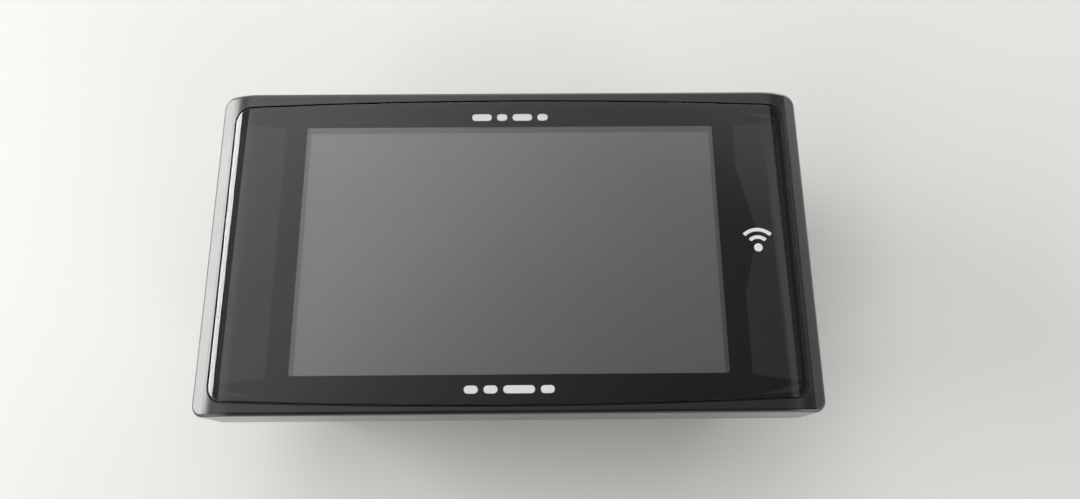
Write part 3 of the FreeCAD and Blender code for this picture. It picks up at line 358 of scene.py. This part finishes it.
def beacon(shape):
    """A dot with two arcs above it, as a generic sign for reception."""
    centre = (film_high.x - SIGN_INSET, active_centre.y - SIGN_DROP)
    plate(shape, turn(centre, 0.7 * MM, 0, 345, 23), film_high.z, film_high.z + INK)
    for inner in (1.5 * MM, 2.8 * MM):
        arc = ring_sector(centre, inner, inner + 0.6 * MM, 45, 135)
        plate(shape, arc, film_high.z, film_high.z + INK)


def frame_plate(shape, inner, outer, low, high):
    """A flat rectangular frame. inner and outer are its (low, high) corners."""
    rings = []
    for (near, far), z in ((inner, low), (outer, low), (outer, high), (inner, high)):
        rings.append([shape.verts.new((x, y, z)) for x, y in ((near.x, near.y), (far.x, near.y),
                                                              (far.x, far.y), (near.x, far.y))])
    for a, b in zip(rings, rings[1:] + rings[:1]):
        for i in range(4):
            shape.faces.new((a[i], a[(i + 1) % 4], b[(i + 1) % 4], b[i]))


def display_border(shape):
    """The unswitched margin round the display's active area, a shade darker than the cells."""
    active = (active_centre - ACTIVE / 2, active_centre + ACTIVE / 2)
    frame_plate(shape, active, (view_low, view_high), view_high.z - INK, view_high.z + INK / 2)


new_piece("display_border", display_border, border_material(), "case")
UPPER_BARS = [3.4 * MM, 1.8 * MM, 3.4 * MM, 1.8 * MM]
LOWER_BARS = [2.2 * MM, 2.2 * MM, 5.0 * MM, 2.2 * MM]
BAR_GAP = 0.9 * MM
new_piece("upper_bars", bar_row(band_top, UPPER_BARS, BAR_GAP), white_ink, "case")
new_piece("lower_bars", bar_row(band_bottom, LOWER_BARS, BAR_GAP), white_ink, "case")
new_piece("reception_sign", beacon, white_ink, "case")


def on_key(name):
    """A function that carries a point drawn in the plane of a key's crown to the key, seen from +Y."""
    low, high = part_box(name)
    middle = (low + high) / 2
    crown = {"x": middle.x, "y": high.y, "z": middle.z}
    return lambda point: Vector((crown["x"] - point.x, crown["y"] + point.z, crown["z"] + point.y))


MARK_LOW, MARK_HIGH = -0.02 * MM, 0.05 * MM
VOLUME_BAR = (1.5 * MM, 0.24 * MM)
VOLUME_REACH = 5 * MM


def power_mark(shape):
    place = on_key("power_button")
    plate(shape, ring_sector((0, -0.1 * MM), 0.55 * MM, 0.78 * MM, 120, 420), MARK_LOW, MARK_HIGH, place)
    plate(shape, round_bar((0, 0.45 * MM), 0.22 * MM, 0.22 * MM), MARK_LOW, MARK_HIGH, place)


def menu_mark(shape):
    place = on_key("menu_button")
    for y in (-0.5, 0, 0.5):
        plate(shape, round_bar((0, y * MM), 1.7 * MM, 0.22 * MM), MARK_LOW, MARK_HIGH, place)


def volume_marks(shape):
    place = on_key("volume_rocker")
    for side in (-1, 1):
        plate(shape, round_bar((side * VOLUME_REACH, 0), *VOLUME_BAR), MARK_LOW, MARK_HIGH, place)
    upright = [(y - VOLUME_REACH, x) for x, y in round_bar((0, 0), *VOLUME_BAR)]
    plate(shape, upright, MARK_LOW, MARK_HIGH + 0.005 * MM, place)


key_ink = print_material("pale_ink", (0.62, 0.62, 0.61), 0.45)
new_piece("power_mark", power_mark, key_ink, "power_key")
new_piece("menu_mark", menu_mark, key_ink, "menu_key")
new_piece("volume_marks", volume_marks, key_ink, "volume_key")

# Floor


def floor_material():
    tree = Tree("pale_table")
    slow = tree.noise(0.12, 4)
    fine = tree.noise(1.5 * MM, 4)
    tint = tree.blend(slow, (0.585, 0.575, 0.555), (0.615, 0.606, 0.587))
    tree.principled(Base_Color=tint, Roughness=tree.spread(slow, 0.42, 0.5),
                    Normal=tree.bump(fine, 0.004 * MM))
    return tree.material


FLOOR_HALF = 3.0
shape = bmesh.new()
bmesh.ops.create_grid(shape, x_segments=2, y_segments=2, size=FLOOR_HALF)
floor_mesh = bpy.data.meshes.new("floor")
shape.to_mesh(floor_mesh)
shape.free()
floor = bpy.data.objects.new("floor", floor_mesh)
floor.location.z = -0.01 * MM
floor.data.materials.append(floor_material())
bpy.context.scene.collection.objects.link(floor)

# Light: a wide window low on the left, and a room whose ceiling is brightest on the left


def area_light(name, position, target, size, power, colour=(1, 1, 1)):
    data = bpy.data.lights.new(name, "AREA")
    data.shape = "RECTANGLE"
    data.size, data.size_y = size
    data.energy = power
    data.color = colour
    light = bpy.data.objects.new(name, data)
    light.location = position
    light.visible_camera = False
    light.rotation_euler = (Vector(target) - Vector(position)).to_track_quat("-Z", "Y").to_euler()
    bpy.context.scene.collection.objects.link(light)
    return light


area_light("left_window", position=(-0.90, 0.12, 0.33), target=(0, 0, 0.02), size=(0.78, 0.30),
           power=10.3, colour=(1.0, 0.992, 0.978))

world = bpy.data.worlds.new("room")
world.use_nodes = True
bpy.context.scene.world = world
sky = world.node_tree
sky.nodes.clear()


def sky_node(kind, **settings):
    node = sky.nodes.new(kind)
    for key, value in settings.items():
        setattr(node, key, value)
    return node


RAMP_SCALE = 4.0


def brightness_ramp(factor, stops):
    """A colour ramp from (position, brightness) stops. A ramp's colours end at 1, so the brightness is
    divided by RAMP_SCALE here, and the background's strength multiplies it back."""
    ramp = sky_node("ShaderNodeValToRGB")
    ramp.color_ramp.interpolation = "EASE"
    while len(ramp.color_ramp.elements) < len(stops):
        ramp.color_ramp.elements.new(0.5)
    for element, (position, value) in zip(ramp.color_ramp.elements, stops):
        element.position = position
        element.color = (value / RAMP_SCALE,) * 3 + (1,)
    sky.links.new(factor, ramp.inputs[0])
    return ramp.outputs[0]


direction = sky_node("ShaderNodeTexCoord").outputs["Generated"]
axes = sky_node("ShaderNodeSeparateXYZ")
sky.links.new(direction, axes.inputs[0])
# By the sine of the elevation: horizon, walls, edge of the ceiling, zenith.
LEFT_ROOM = [(0.0, 0.4), (0.25, 0.4), (0.50, 0.6), (0.66, 0.5), (0.72, 2.2), (0.78, 2.0), (0.84, 1.9),
             (0.93, 1.5), (1.0, 0.9)]
RIGHT_ROOM = [(0.0, 1.6), (0.21, 1.3), (0.31, 0.3), (0.70, 0.2), (0.75, 1.0), (0.86, 1.0), (0.93, 0.35),
              (1.0, 0.25)]
left_side = brightness_ramp(axes.outputs["Z"], LEFT_ROOM)
right_side = brightness_ramp(axes.outputs["Z"], RIGHT_ROOM)


def step_between(axis, start, end, low, high):
    """A smooth step in one direction cosine, from low at start to high at end."""
    node = sky_node("ShaderNodeMapRange", interpolation_type="SMOOTHSTEP")
    for key, value in (("From Min", start), ("From Max", end), ("To Min", low), ("To Max", high)):
        node.inputs[key].default_value = value
    sky.links.new(axes.outputs[axis], node.inputs["Value"])
    return node.outputs[0]


def combine(operation, first, second):
    node = sky_node("ShaderNodeMath", operation=operation)
    for socket, value in zip(node.inputs, (first, second)):
        if isinstance(value, bpy.types.NodeSocket):
            sky.links.new(value, socket)
        else:
            socket.default_value = value
    return node.outputs[0]


both = sky_node("ShaderNodeMix", data_type="RGBA")
sky.links.new(step_between("X", -0.38, 0.34, 0, 1), both.inputs[0])
sky.links.new(left_side, both.inputs[6])
sky.links.new(right_side, both.inputs[7])
toward = step_between("Y", -0.1, 0.48, 0.95, 1.2)
back_wall = step_between("Y", 0.5, 0.75, 0.0, 2.2)
# Whoever holds the camera stands in front of the object and darkens that side, but not the floor's edge.
past_person = step_between("Y", -0.22, 0.08, 0.02, 1.0)
beside = combine("MAXIMUM", past_person, step_between("X", -0.62, -0.45, 1.0, 0.0))
person = combine("MAXIMUM", beside, step_between("Z", 0.22, 0.42, 1.7, 0.0))
room = combine("ADD", toward, back_wall)
strength = combine("MULTIPLY", room, combine("MULTIPLY", person, RAMP_SCALE))
background = sky_node("ShaderNodeBackground")
sky.links.new(strength, background.inputs["Strength"])
sky.links.new(both.outputs[2], background.inputs["Color"])
# Light from the room's near corners, on either side of that person.
near = step_between("Y", -0.62, -0.34, 1.0, 0.0)
left_corner = step_between("X", -0.54, -0.36, 4.0, 0.0)
right_corner = step_between("X", 0.36, 0.54, 0.0, 3.6)
corners = combine("ADD", left_corner, right_corner)
corner_light = sky_node("ShaderNodeBackground")
sky.links.new(combine("MULTIPLY", near, corners), corner_light.inputs["Strength"])
both_lights = sky_node("ShaderNodeAddShader")
sky.links.new(background.outputs[0], both_lights.inputs[0])
sky.links.new(corner_light.outputs[0], both_lights.inputs[1])
sky.links.new(both_lights.outputs[0], sky_node("ShaderNodeOutputWorld").inputs[0])

# Camera, at the photograph's viewing angle

camera_data = bpy.data.cameras.new("camera")
camera_data.sensor_width = 36.0
camera_data.lens = 27.03
camera_data.clip_start = 1 * MM
camera = bpy.data.objects.new("camera", camera_data)
camera.location = (4.2 * MM, -38.95 * MM, 156.8 * MM)
camera.rotation_euler = [math.radians(angle) for angle in (16.62, -0.22, -0.48)]
bpy.context.scene.collection.objects.link(camera)
bpy.context.scene.camera = camera
bpy.context.scene.view_settings.view_transform = "Standard"
